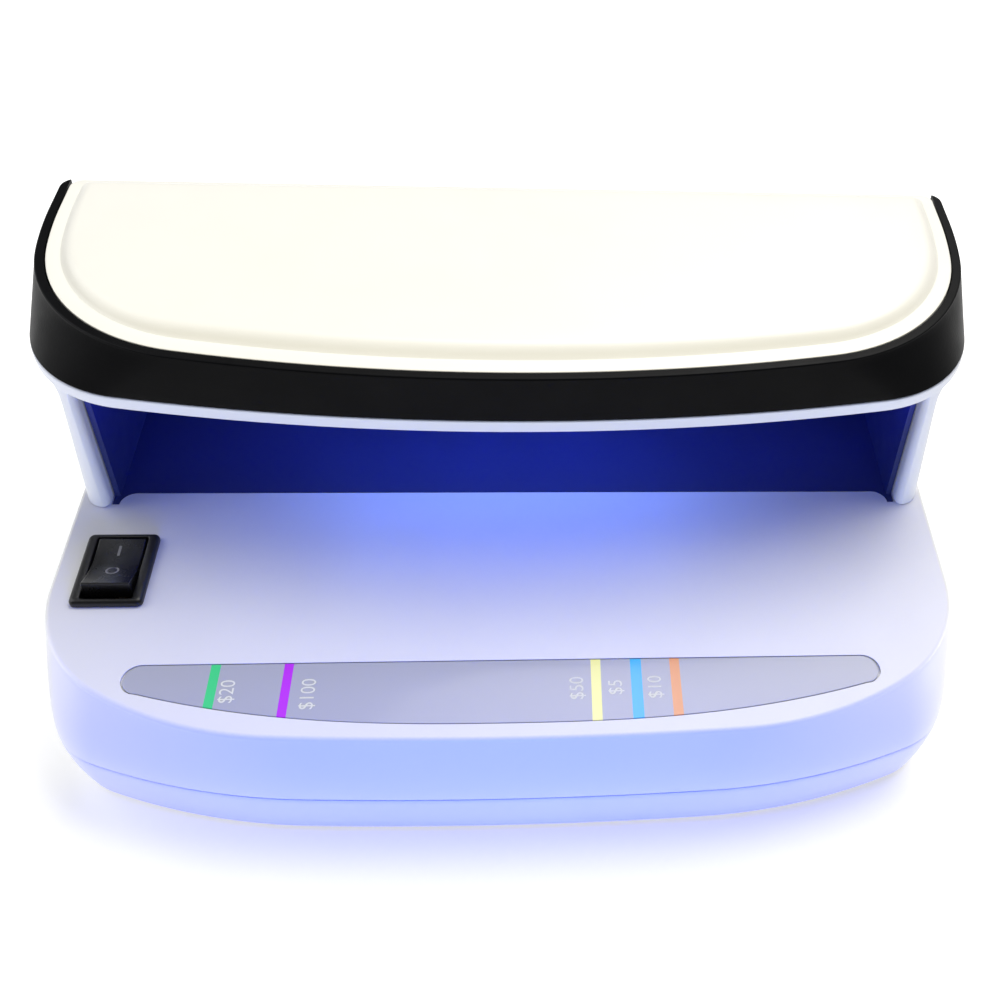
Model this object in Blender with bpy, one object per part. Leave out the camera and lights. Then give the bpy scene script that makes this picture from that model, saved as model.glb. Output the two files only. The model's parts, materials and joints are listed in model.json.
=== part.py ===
"""Counterfeit bill detector: a D-shaped base, a stand with a dark viewing chamber, a violet lamp
head and a rocker switch. Lengths below are millimetres; the model is built in metres, +Z up, front
towards -Y."""

import math

import bmesh
import bpy
from mathutils import Matrix, Vector

MM = 0.001

# Heights, from the floor up
FOOT_BELOW = 1.0
PARTING_Z = 15.5
BASE_TOP_Z = 31.0
TRAY_Z = 65.0
TRAY_TOP_Z = 68.0
BAND_TOP_Z = 78.5
PLATEAU_Z = 80.9

# Base plan at its top edge and at the belly of its wall: radius and end heading of each tangent
# arc, front to side
BASE_FRONT_Y = -63.5
BASE_REAR_Y = 65.5
BASE_ARCS = ((816.0, 3.27), (75.2, 32.4), (31.9, 90.0))
BASE_REAR_R = 18.0
BELLY_FRONT_Y = -67.5
BELLY_REAR_Y = 67.5
BELLY_ARCS = ((938.5, 2.5), (134.5, 21.4), (16.5, 90.0))
BELLY_REAR_R = 20.0
BASE_WALL = 2.2
BASE_FILLET = 1.1
PLATE = 2.4

# Head plan at the joint between the band and the top cover, and the squarer skirt at the foot of
# the band. The band is open at the rear.
HEAD_FRONT_Y = -8.7
HEAD_REAR_Y = 58.6
HEAD_ARCS = ((373.5, 10.4), (41.0, 82.0), (110.0, 90.0))
HEAD_REAR_R = 3.0
SKIRT_FRONT_Y = -11.9
SKIRT_ARCS = ((474.0, 9.75), (26.9, 78.0), (45.0, 90.0))
BAND_TOP_W = 2.0
LIP_OUT = 0.15

# Stand and viewing chamber
STAND_FRONT_Y = -1.0
STAND_HALF = 95.8
STAND_REAR_Y = 58.0
CHAMBER_X = 90.0
CHAMBER_REAR_Y = 38.5
CHAMBER_R = 9.3
LINER_GAP = 0.3
LINER_T = 1.2
LINER_FLOOR_FRONT_Y = 3.6
LINER_WALL_FRONT_Y = 2.6
LEG_EDGE_R = 2.0
CHANNEL_X = 78.0
CHANNEL_Y = (41.5, 55.0)

# Lamp
LAMP_Y = 15.0
LAMP_OPEN = (44.0, 11.0)
LAMP_FRAME = (48.0, 14.5)
LED_X = (-30.0, -18.0, -6.0, 6.0, 18.0, 30.0)

# Rocker switch
SWITCH_XY = (-84.4, -19.8)
BEZEL = (7.5, 9.7)
ROCKER_PIVOT_Z = 31.0
ROCKER_TILT = 10.0
ARM_PIVOT_Z = 22.6

# Fasteners and feet
BASE_SCREWS = ((-62.0, -40.0), (62.0, -40.0), (-60.0, 50.0), (60.0, 50.0))
FEET = ((-76.0, -28.0), (76.0, -28.0), (-77.0, 46.0), (77.0, 46.0))
HEAD_SCREWS = ((-70.0, 13.0), (70.0, 13.0), (-78.0, 30.0), (78.0, 30.0))
STAND_SCREWS = ((-85.0, 49.0), (85.0, 49.0))

# Power inlet
INLET_X = -50.0
INLET_Z = 21.4


def clear_scene():
    for obj in list(bpy.data.objects):
        bpy.data.objects.remove(obj, do_unlink=True)


def material(name, colour, roughness, metallic=0.0, transmission=0.0, glow=None):
    mat = bpy.data.materials.new(name)
    mat.use_nodes = True
    shader = mat.node_tree.nodes["Principled BSDF"]
    shader.inputs["Base Color"].default_value = (*colour, 1.0)
    shader.inputs["Roughness"].default_value = roughness
    shader.inputs["Metallic"].default_value = metallic
    shader.inputs["Transmission Weight"].default_value = transmission
    if glow:
        shader.inputs["Emission Color"].default_value = (*glow, 1.0)
        shader.inputs["Emission Strength"].default_value = 2.0
    mat.diffuse_color = (*colour, 1.0)
    return mat


def arc(centre, radius, start, end, count):
    """Points on a circle, angles in degrees, both ends included."""
    points = []
    for k in range(count + 1):
        a = math.radians(start + (end - start) * k / count)
        points.append((centre[0] + radius * math.cos(a), centre[1] + radius * math.sin(a)))
    return points


def plan(front_y, rear_y, arcs, rear_r, grow=0.0, shift=0.0, counts=(7, 8, 7), rear_count=6):
    """Closed outline, counter-clockwise, of tangent arcs from the front centre round to the rear."""
    front = front_y - grow
    right = [(0.0, front + shift)]
    centre = (0.0, front + arcs[0][0] + grow)
    heading = 0.0
    last = arcs[0][0] + grow
    for (radius, end), count in zip(arcs, counts):
        r = radius + grow
        t = math.radians(heading)
        centre = (centre[0] + (last - r) * math.sin(t), centre[1] - (last - r) * math.cos(t))
        points = arc(centre, r, heading - 90.0, end - 90.0, count)
        right += [(x, y + shift) for x, y in points[1:]]
        heading = end
        last = r
    half = right[-1][0]
    r = max(rear_r + grow, 1.0)
    corner = (half - r, rear_y + grow - r)
    right += [(x, y + shift) for x, y in arc(corner, r, 0.0, 90.0, rear_count)]
    left = [(-x, y) for x, y in reversed(right[1:])]
    return right + left


def base_plan(grow):
    return plan(BASE_FRONT_Y, BASE_REAR_Y, BASE_ARCS, BASE_REAR_R, grow)


def belly_plan(grow):
    return plan(BELLY_FRONT_Y, BELLY_REAR_Y, BELLY_ARCS, BELLY_REAR_R, grow)


def blend(low, high, w):
    """Outline a fraction w of the way from high to low, point by point."""
    return [(x1 + w * (x0 - x1), y1 + w * (y0 - y1)) for (x0, y0), (x1, y1) in zip(low, high)]


def wall_plan(z, grow=0.0):
    """Outline of the base wall at a height between the belly and the top edge."""
    top = BASE_TOP_Z - BASE_FILLET
    w = math.sin(math.pi / 2 * (top - z) / (top - PARTING_Z))
    return blend(belly_plan(grow), base_plan(grow), w)


def head_plan(grow, shift=0.0):
    return plan(HEAD_FRONT_Y, HEAD_REAR_Y, HEAD_ARCS, HEAD_REAR_R, grow, shift)


def rim_plan(grow):
    """Outline of the band near its top, ending on the rear face of the head."""
    return plan(HEAD_FRONT_Y, HEAD_REAR_Y - grow, HEAD_ARCS, HEAD_REAR_R - grow, grow)


def skirt_plan(grow):
    return plan(SKIRT_FRONT_Y, HEAD_REAR_Y, SKIRT_ARCS, HEAD_REAR_R, grow)


def rounded(half_x, half_y, radius, centre=(0.0, 0.0), count=4):
    """Closed outline of a rectangle with rounded corners, counter-clockwise."""
    points = []
    for sx, sy, start in ((1, -1, -90.0), (1, 1, 0.0), (-1, 1, 90.0), (-1, -1, 180.0)):
        corner = (centre[0] + sx * (half_x - radius), centre[1] + sy * (half_y - radius))
        points += arc(corner, radius, start, start + 90.0, count)
    return points


def loft(rings, loop=False):
    """Vertices and faces of a skin over rings given as (outline, z), capped unless it loops."""
    size = len(rings[0][0])
    verts = [(x, y, z) for outline, z in rings for x, y in outline]
    faces = []
    total = len(rings)
    for k in range(total if loop else total - 1):
        a = k * size
        b = (k + 1) % total * size
        for i in range(size):
            j = (i + 1) % size
            faces.append((a + i, a + j, b + j, b + i))
    if not loop:
        faces.append(tuple(reversed(range(size))))
        faces.append(tuple(range((total - 1) * size, total * size)))
    return verts, faces


def prism(outline, z0, z1):
    return loft([(outline, z0), (outline, z1)])


def box(x0, x1, y0, y1, z0, z1):
    return prism([(x0, y0), (x1, y0), (x1, y1), (x0, y1)], z0, z1)


def turned(profile, centre=(0.0, 0.0), segments=20):
    """Solid of revolution about a vertical axis; profile is (radius, z), bottom to top."""
    rings = []
    for radius, z in profile:
        rings.append((arc(centre, radius, 0.0, 360.0 * (segments - 1) / segments, segments - 1), z))
    return loft(rings)


def moved(shape, matrix):
    verts, faces = shape
    return [tuple(matrix @ Vector(v)) for v in verts], faces


def lying(shape, centre, axis):
    """A shape built about +Z at the origin, turned to point along axis and moved to centre."""
    turn = Vector((0, 0, 1)).rotation_difference(Vector(axis)).to_matrix().to_4x4()
    return moved(shape, Matrix.Translation(centre) @ turn)


def swept(path, radius, segments=8):
    """Round wire along a path of points with rounded bends."""
    points = [Vector(p) for p in path]
    smooth = [points[0]]
    for before, here, after in zip(points, points[1:], points[2:]):
        reach = min(5.0, (here - before).length * 0.45, (after - here).length * 0.45)
        a = here + (before - here).normalized() * reach
        b = here + (after - here).normalized() * reach
        for k in range(5):
            t = k / 4
            smooth.append(a * (1 - t) ** 2 + here * 2 * t * (1 - t) + b * t * t)
    smooth.append(points[-1])
    ahead = (smooth[1] - smooth[0]).normalized()
    side = ahead.orthogonal().normalized()
    verts = []
    for k, point in enumerate(smooth):
        before = smooth[max(k - 1, 0)]
        after = smooth[min(k + 1, len(smooth) - 1)]
        new_ahead = (after - before).normalized()
        side = ahead.rotation_difference(new_ahead) @ side
        side = (side - new_ahead * side.dot(new_ahead)).normalized()
        ahead = new_ahead
        up = ahead.cross(side)
        for i in range(segments):
            a = 2 * math.pi * i / segments
            verts.append(tuple(point + side * (radius * math.cos(a)) + up * (radius * math.sin(a))))
    faces = []
    for k in range(len(smooth) - 1):
        for i in range(segments):
            j = (i + 1) % segments
            a = k * segments
            b = a + segments
            faces.append((a + i, a + j, b + j, b + i))
    faces.append(tuple(reversed(range(segments))))
    last = (len(smooth) - 1) * segments
    faces.append(tuple(range(last, last + segments)))
    return verts, faces


def solid(name, shape, mat=None, origin=(0.0, 0.0, 0.0), smooth=30.0):
    """One mesh object from a shape in millimetres, with its origin on a given point."""
    verts, faces = shape
    mesh = bpy.data.meshes.new(name)
    at = Vector(origin)
    mesh.from_pydata([tuple((Vector(v) - at) * MM) for v in verts], [], faces)
    work = bmesh.new()
    work.from_mesh(mesh)
    bmesh.ops.recalc_face_normals(work, faces=work.faces)
    if work.calc_volume(signed=True) < 0:
        bmesh.ops.reverse_faces(work, faces=work.faces)
    work.to_mesh(mesh)
    work.free()
    for face in mesh.polygons:
        face.use_smooth = True
    mesh.set_sharp_from_angle(angle=math.radians(smooth))
    obj = bpy.data.objects.new(name, mesh)
    bpy.context.scene.collection.objects.link(obj)
    obj.location = at * MM
    if mat:
        mesh.materials.append(mat)
    return obj


def helper(obj, shape, operation):
    """A Boolean of obj with a shape kept as a wire helper."""
    count = len(obj.modifiers)
    tool = solid(f"{obj.name}_{operation.lower()}_{count}", shape)
    tool.hide_render = True
    tool.display_type = "WIRE"
    step = obj.modifiers.new(f"{operation.lower()}_{count}", "BOOLEAN")
    step.operation = operation
    step.solver = "EXACT"
    step.object = tool


def cut(obj, *shapes):
    for shape in shapes:
        helper(obj, shape, "DIFFERENCE")


def join(obj, *shapes):
    for shape in shapes:
        helper(obj, shape, "UNION")


def cylinder(radius, z0, z1, centre, segments=20):
    return turned([(radius, z0), (radius, z1)], centre, segments)


def label_outline(grow):
    """Guide strip: a straight rear edge, an arched front edge and rounded tips."""
    half = 73.5 + grow
    front = []
    for k in range(-9, 10):
        x = half * k / 9
        front.append((x, -59.4 - grow + 8.2 * abs(x / half) ** 2.6))
    tip = 3.4 + grow
    right = arc((half, -47.8), tip, -70.0, 90.0, 6)
    left = [(-x, y) for x, y in reversed(right)]
    return front + right + left


def liner_floor(grow=0.0):
    """Floor of the liner, its front edge drawn forward along both side walls."""
    half = CHAMBER_X - LINER_GAP + grow
    rear = CHAMBER_REAR_Y - LINER_GAP + grow
    radius = CHAMBER_R - LINER_GAP + grow
    sweep = 3.4
    inner = CHAMBER_X - LINER_GAP - LINER_T - grow
    y = LINER_FLOOR_FRONT_Y - grow
    tip = STAND_FRONT_Y + 1.2 - grow
    points = arc((inner - sweep, y - sweep), sweep, 90.0, 5.0, 5)
    points += [(inner, tip), (half, tip)]
    points += arc((half - radius, rear - radius), radius, 0.0, 90.0, 5)
    return points + [(-x, py) for x, py in reversed(points)]


def build_base():
    white = material("case_white", (0.86, 0.86, 0.85), 0.42)
    grey = material("base_shell_white", (0.84, 0.84, 0.86), 0.45)

    rings = [(base_plan(-3.8), BASE_TOP_Z - PLATE), (base_plan(-2.8), BASE_TOP_Z - PLATE - 0.5)]
    for z in (25.0, 20.0):
        rings.append((wall_plan(z, -BASE_WALL), z))
    rings.append((belly_plan(-BASE_WALL - 0.2), PARTING_Z + 0.1))
    rings.append((belly_plan(-0.25), PARTING_Z + 0.1))
    rings.append((belly_plan(0.0), PARTING_Z + 0.35))
    for z in (18.0, 20.5, 23.5, 26.5, BASE_TOP_Z - BASE_FILLET):
        rings.append((wall_plan(z), z))
    for k in range(1, 5):
        a = math.radians(22.5 * k)
        grow = BASE_FILLET * (math.cos(a) - 1)
        rings.append((base_plan(grow), BASE_TOP_Z - BASE_FILLET * (1 - math.sin(a))))
    top = solid("base_top_shell", loft(rings), white)
    for x, y in BASE_SCREWS:
        join(top, cylinder(3.6, PARTING_Z + 0.3, BASE_TOP_Z - 1.0, (x, y), 18))
    for x, y in BASE_SCREWS:
        cut(top, cylinder(1.3, PARTING_Z - 2, 24.5, (x, y), 14))
    cut(top, prism(label_outline(0.2), BASE_TOP_Z - 0.6, BASE_TOP_Z + 2))
    cut(top, prism(liner_floor(0.2), BASE_TOP_Z - 0.6, BASE_TOP_Z + 2))
    cut(top, prism(rounded(6.6, 9.5, 0.6, SWITCH_XY), 20.0, 40.0))
    cut(top, prism(rounded(12.0, 5.0, 2.0, (0.0, 50.0)), 25.0, 35.0))
    for x, y in STAND_SCREWS:
        cut(top, cylinder(1.7, 25.0, 35.0, (x, y), 14))
    cut(top, lying(cylinder(4.8, -8.0, 8.0, (0, 0), 24), (INLET_X, BASE_REAR_Y + 1, INLET_Z), (0, 1, 0)))

    low = FOOT_BELOW
    wall = ((-2.9, low), (-2.2, low + 0.35), (-1.6, 2.6), (-1.1, 5.0), (-0.55, 8.5), (-0.2, 12.0))
    rings = [(belly_plan(grow), z) for grow, z in wall]
    rings += [(belly_plan(-0.02), PARTING_Z - 0.45), (belly_plan(-0.3), PARTING_Z - 0.1)]
    rings.append((belly_plan(-2.4), PARTING_Z - 0.1))
    rings += [(belly_plan(-2.7), 8.0), (belly_plan(-3.6), 3.6), (belly_plan(-4.2), 3.0)]
    bottom = solid("base_bottom_shell", loft(rings), grey)
    for x, y in BASE_SCREWS:
        join(bottom, cylinder(4.4, 2.0, PARTING_Z, (x, y), 18))
    for x, y in ((-26.0, -16.0), (26.0, -16.0), (-26.0, 16.0), (26.0, 16.0)):
        join(bottom, cylinder(2.4, 2.0, 7.8, (x, y), 12))
    for x, y in BASE_SCREWS:
        cut(bottom, cylinder(1.7, 0.0, PARTING_Z + 1.6, (x, y), 14), cylinder(3.2, 0.0, 3.8, (x, y), 18))
    for x, y in FEET:
        cut(bottom, cylinder(5.3, 0.0, 2.1, (x, y), 20))

    rubber = material("foot_rubber", (0.03, 0.03, 0.035), 0.8)
    for k, (x, y) in enumerate(FEET, 1):
        profile = [(4.4, 0.0), (4.9, 0.35), (5.0, 1.95)]
        solid(f"foot_{k}", turned(profile, (x, y), 20), rubber)

    steel = material("screw_steel", (0.55, 0.56, 0.58), 0.3, 1.0)
    for k, (x, y) in enumerate(BASE_SCREWS, 1):
        profile = [(2.6, 1.7), (2.9, 2.0), (2.9, 3.6), (1.2, 3.7), (1.2, 20.0), (0.4, 21.2)]
        screw = solid(f"base_screw_{k}", turned(profile, (x, y), 14), steel)
        cut(screw, box(x - 1.9, x + 1.9, y - 0.35, y + 0.35, 1.0, 2.5))


def build_label():
    film = material("label_film", (0.42, 0.44, 0.52), 0.3)
    solid("guide_label", prism(label_outline(0.0), BASE_TOP_Z - 0.58, BASE_TOP_Z - 0.02), film)


def build_switch():
    black = material("switch_black", (0.012, 0.012, 0.014), 0.35)
    rocker_black = material("rocker_black", (0.012, 0.012, 0.014), 0.3)
    brass = material("contact_brass", (0.75, 0.55, 0.25), 0.3, 1.0)
    tip = material("plunger_nylon", (0.75, 0.73, 0.68), 0.5)
    x, y = SWITCH_XY
    top = BASE_TOP_Z + 0.1
    rings = [
        (rounded(6.4, 9.3, 0.6, SWITCH_XY), 17.0),
        (rounded(6.4, 9.3, 0.6, SWITCH_XY), top),
        (rounded(BEZEL[0], BEZEL[1], 1.2, SWITCH_XY), top),
        (rounded(BEZEL[0], BEZEL[1], 1.2, SWITCH_XY), top + 1.1),
        (rounded(BEZEL[0] - 0.5, BEZEL[1] - 0.5, 0.9, SWITCH_XY), top + 1.6),
        (rounded(5.4, 8.5, 0.4, SWITCH_XY), top + 1.6),
        (rounded(5.3, 8.4, 0.4, SWITCH_XY), 19.0),
    ]
    housing = solid("switch_housing", loft(rings), black)
    cut(housing, lying(cylinder(1.15, -6.15, 6.15, (0, 0), 16), (x, y, ROCKER_PIVOT_Z), (1, 0, 0)))
    cut(housing, box(x - 2.6, x + 2.6, y - 0.6, y + 0.6, 16.0, 20.0))
    cut(housing, box(x - 2.6, x + 2.6, y - 6.8, y - 5.6, 16.0, 20.0))

    profile = [(-7.0, -1.0), (-4.5, -3.2), (4.5, -3.2), (7.0, -1.0)]
    profile += [(7.5, 3.3), (3.6, 2.2), (0.0, 1.9), (-3.6, 2.2), (-7.5, 3.3)]
    block = loft([(profile, -4.95), (profile, 4.95)])
    upright = Matrix(((0, 0, 1, 0), (1, 0, 0, 0), (0, 1, 0, 0), (0, 0, 0, 1)))
    tilt = Matrix.Rotation(math.radians(-ROCKER_TILT), 4, "X")
    pivot = (x, y, ROCKER_PIVOT_Z)
    at = Matrix.Translation(pivot)
    rocker = solid("switch_rocker", moved(block, at @ tilt @ upright), rocker_black, pivot)
    pin = turned([(0.7, -5.9), (0.85, -5.7), (0.85, 5.7), (0.7, 5.9)], (0, 0), 14)
    join(rocker, moved(lying(pin, (0, 0, 0), (1, 0, 0)), at))
    bore = moved(cylinder(1.15, -5.0, -1.6, (0, 0), 14), at @ tilt)
    cut(rocker, bore)
    shaft = turned([(0.45, -7.3), (0.85, -6.8), (0.95, -6.2), (0.95, -1.8)], (0, 0), 14)
    solid("switch_plunger", moved(shaft, at @ tilt), tip, pivot)

    arm_pivot = (x, y, ARM_PIVOT_Z)
    strip = [(-6.2, 0.15), (-5.2, 0.15), (-3.6, 0.3), (3.6, 0.3), (5.2, 0.15), (6.2, 0.15)]
    strip += [(6.2, 0.75), (5.2, 0.75), (3.6, 0.9), (-3.6, 0.9), (-5.2, 0.75), (-6.2, 0.75)]
    arm = loft([(strip, -1.6), (strip, 1.6)])
    back = Matrix.Translation(arm_pivot) @ Matrix.Rotation(math.radians(ROCKER_TILT), 4, "X")
    solid("contact_arm", moved(arm, back @ upright), brass, arm_pivot)

    common = solid("terminal_common", box(x - 2.35, x + 2.35, y - 0.4, y + 0.4, 9.5, 20.6), brass)
    join(common, box(x - 1.1, x + 1.1, y - 0.4, y + 0.4, 20.0, 22.4))
    load = solid("terminal_load", box(x - 2.35, x + 2.35, y - 6.6, y - 5.8, 9.5, 21.2), brass)
    join(load, box(x - 1.7, x + 1.7, y - 6.6, y - 4.9, 20.7, 21.3))


def stand_ring(z):
    """Outer outline of the stand: a rounded oblong on the base that flares to meet the lip."""
    t = (z - BASE_TOP_Z) / (TRAY_Z - BASE_TOP_Z)
    half = STAND_HALF - 1.9 * t
    corner = 4.5 - 0.7 * t
    slope = 1.5
    run = (half - corner) / math.sin(math.radians(slope))
    sag = run * (1 - math.cos(math.radians(slope)))
    arcs = ((run, slope), (corner, 89.0), (300.0, 90.0))
    low = plan(STAND_FRONT_Y - sag, STAND_REAR_Y + 0.4 * t, arcs, 8.0)
    return blend(skirt_plan(LIP_OUT - 0.4), low, 0.4 * t**30)


def chamber_outline(inset, front):
    """Plan of the chamber, open to the front, with rounded rear corners."""
    half = CHAMBER_X - inset
    rear = CHAMBER_REAR_Y - inset
    radius = CHAMBER_R - inset
    right = [(half, front)] + arc((half - radius, rear - radius), radius, 0.0, 90.0, 6)
    return right + [(-x, y) for x, y in reversed(right)]


def opening_outline():
    """Plan of the opening cut in the stand: the chamber, with both front edges rounded."""
    centre = (CHAMBER_X + LEG_EDGE_R, STAND_FRONT_Y + LEG_EDGE_R - 0.1)
    edge = arc(centre, LEG_EDGE_R, 270.0, 180.0, 4)
    front = [(CHAMBER_X + LEG_EDGE_R, -30.0)] + edge
    right = front + chamber_outline(0.0, 10.0)[:8]
    return right + [(-x, y) for x, y in reversed(right)]


def build_stand():
    white = material("stand_white", (0.86, 0.86, 0.86), 0.42)
    dark = material("liner_dark", (0.02, 0.022, 0.035), 0.4)
    heights = [BASE_TOP_Z + 0.2, 40.0, 50.0, 57.0, 60.5, 62.3, 63.3, 64.1, 64.7, TRAY_Z + 1.6]
    rings = [(stand_ring(min(z, TRAY_Z)), z) for z in heights]
    stand = solid("stand_frame", loft(rings), white)
    cut(stand, prism(opening_outline(), 20.0, 70.0))
    tray = [(-0.6, TRAY_Z), (-0.15, TRAY_Z + 0.2), (0.0, TRAY_Z + 0.7)]
    tray += [(0.0, TRAY_TOP_Z - 0.4), (-0.2, TRAY_TOP_Z)]
    join(stand, loft([(skirt_plan(LIP_OUT + grow), z) for grow, z in tray]))
    middle = (CHANNEL_Y[0] + CHANNEL_Y[1]) / 2
    half = (CHANNEL_Y[1] - CHANNEL_Y[0]) / 2
    cut(stand, prism(rounded(CHANNEL_X, half, 4.0, (0.0, middle)), 20.0, 75.0))
    cut(stand, prism(rounded(LAMP_OPEN[0], LAMP_OPEN[1], 2.0, (0.0, LAMP_Y)), 60.0, 75.0))
    for x, y in HEAD_SCREWS:
        cut(stand, cylinder(1.6, 60.0, 75.0, (x, y), 14), cylinder(3.1, 60.0, 66.8, (x, y), 18))
    for x, y in STAND_SCREWS:
        cut(stand, cylinder(1.3, 25.0, 44.0, (x, y), 14))

    wall = chamber_outline(LINER_GAP, LINER_WALL_FRONT_Y)
    inner = chamber_outline(LINER_GAP + LINER_T, -20.0)
    liner = solid("chamber_liner", prism(wall, BASE_TOP_Z - 0.5, TRAY_Z - 0.2), dark)
    cut(liner, prism(inner, 20.0, 70.0))
    join(liner, prism(liner_floor(), BASE_TOP_Z - 0.5, BASE_TOP_Z + 0.02))


def build_head():
    black = material("band_black", (0.008, 0.008, 0.01), 0.3)
    white = material("cover_white", (0.88, 0.88, 0.86), 0.38)
    rings = [
        (skirt_plan(0.0), TRAY_TOP_Z + 0.2),
        (rim_plan(BAND_TOP_W), BAND_TOP_Z - 0.35),
        (rim_plan(BAND_TOP_W - 0.35), BAND_TOP_Z),
    ]
    band = solid("head_band", loft(rings), black)
    inside = plan(HEAD_FRONT_Y, HEAD_REAR_Y + 20.0, HEAD_ARCS, HEAD_REAR_R)
    cut(band, prism(inside, 60.0, 85.0))

    rings = [
        (head_plan(-7.8, 0.9), 78.9),
        (head_plan(-6.4, 0.9), 78.4),
        (head_plan(-5.6, 0.7), 76.6),
        (head_plan(-1.9), 76.4),
        (head_plan(-1.9), TRAY_TOP_Z + 0.2),
        (head_plan(-0.3), TRAY_TOP_Z + 0.2),
        (head_plan(-0.3), BAND_TOP_Z - 0.25),
        (head_plan(-0.55), BAND_TOP_Z),
        (head_plan(-3.0, 0.7), BAND_TOP_Z),
        (head_plan(-3.6, 0.9), BAND_TOP_Z + 0.25),
        (head_plan(-4.1, 1.0), BAND_TOP_Z + 1.0),
        (head_plan(-4.7, 1.0), BAND_TOP_Z + 1.75),
        (head_plan(-5.8, 1.0), PLATEAU_Z - 0.2),
        (head_plan(-8.0, 1.0), PLATEAU_Z),
    ]
    cover = solid("top_cover", loft(rings), white)
    for x, y in HEAD_SCREWS:
        join(cover, cylinder(3.3, TRAY_TOP_Z + 0.3, 79.6, (x, y), 16))
    for x, y in HEAD_SCREWS:
        cut(cover, cylinder(1.3, 60.0, 77.0, (x, y), 14))

    steel = material("head_screw_steel", (0.55, 0.56, 0.58), 0.3, 1.0)
    for k, (x, y) in enumerate(HEAD_SCREWS, 1):
        profile = [(2.5, 65.2), (2.8, 65.45), (2.8, 66.6), (1.2, 66.7), (1.2, 75.0), (0.4, 76.2)]
        screw = solid(f"head_screw_{k}", turned(profile, (x, y), 14), steel)
        cut(screw, box(x - 1.8, x + 1.8, y - 0.35, y + 0.35, 64.0, 65.9))
    for k, (x, y) in enumerate(STAND_SCREWS, 1):
        profile = [(2.5, 26.4), (2.8, 26.7), (2.8, 28.3), (1.2, 28.4), (1.2, 41.0), (0.4, 42.4)]
        screw = solid(f"stand_screw_{k}", turned(profile, (x, y), 14), steel)
        cut(screw, box(x - 1.8, x + 1.8, y - 0.35, y + 0.35, 25.0, 27.1))


def build_lamp():
    window = material("lamp_window", (0.35, 0.25, 0.85), 0.1, 0.0, 0.8)
    mirror = material("lamp_reflector", (0.8, 0.8, 0.82), 0.15, 1.0)
    board = material("lamp_board_green", (0.02, 0.16, 0.07), 0.45)
    diode = material("diode_violet", (0.35, 0.3, 0.95), 0.1, 0.0, 0.0, (0.2, 0.3, 1.0))
    at = (0.0, LAMP_Y)
    plate = rounded(LAMP_FRAME[0], LAMP_FRAME[1], 2.0, at)
    solid("lamp_window", prism(plate, TRAY_TOP_Z + 0.05, TRAY_TOP_Z + 1.65), window)
    z0 = TRAY_TOP_Z + 1.8
    z1 = z0 + 3.9
    rings = [
        (rounded(36.0, 5.0, 2.0, at), z1),
        (rounded(43.0, 10.5, 3.0, at), z0),
        (rounded(LAMP_FRAME[0], LAMP_FRAME[1], 2.0, at), z0),
        (rounded(LAMP_FRAME[0] - 1.5, LAMP_FRAME[1] - 3.0, 2.0, at), z1),
    ]
    solid("lamp_reflector", loft(rings, loop=True), mirror)
    solid("lamp_board", prism(rounded(46.0, 11.0, 1.0, at), z1 + 0.15, z1 + 1.65), board)
    for k, x in enumerate(LED_X, 1):
        profile = [(0.5, z1 - 2.9), (1.5, z1 - 2.6), (2.2, z1 - 2.0), (2.4, z1 - 1.2)]
        profile += [(2.9, z1 - 1.1), (2.9, z1 + 0.1)]
        solid(f"lamp_diode_{k}", turned(profile, (x, LAMP_Y), 16), diode)


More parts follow.
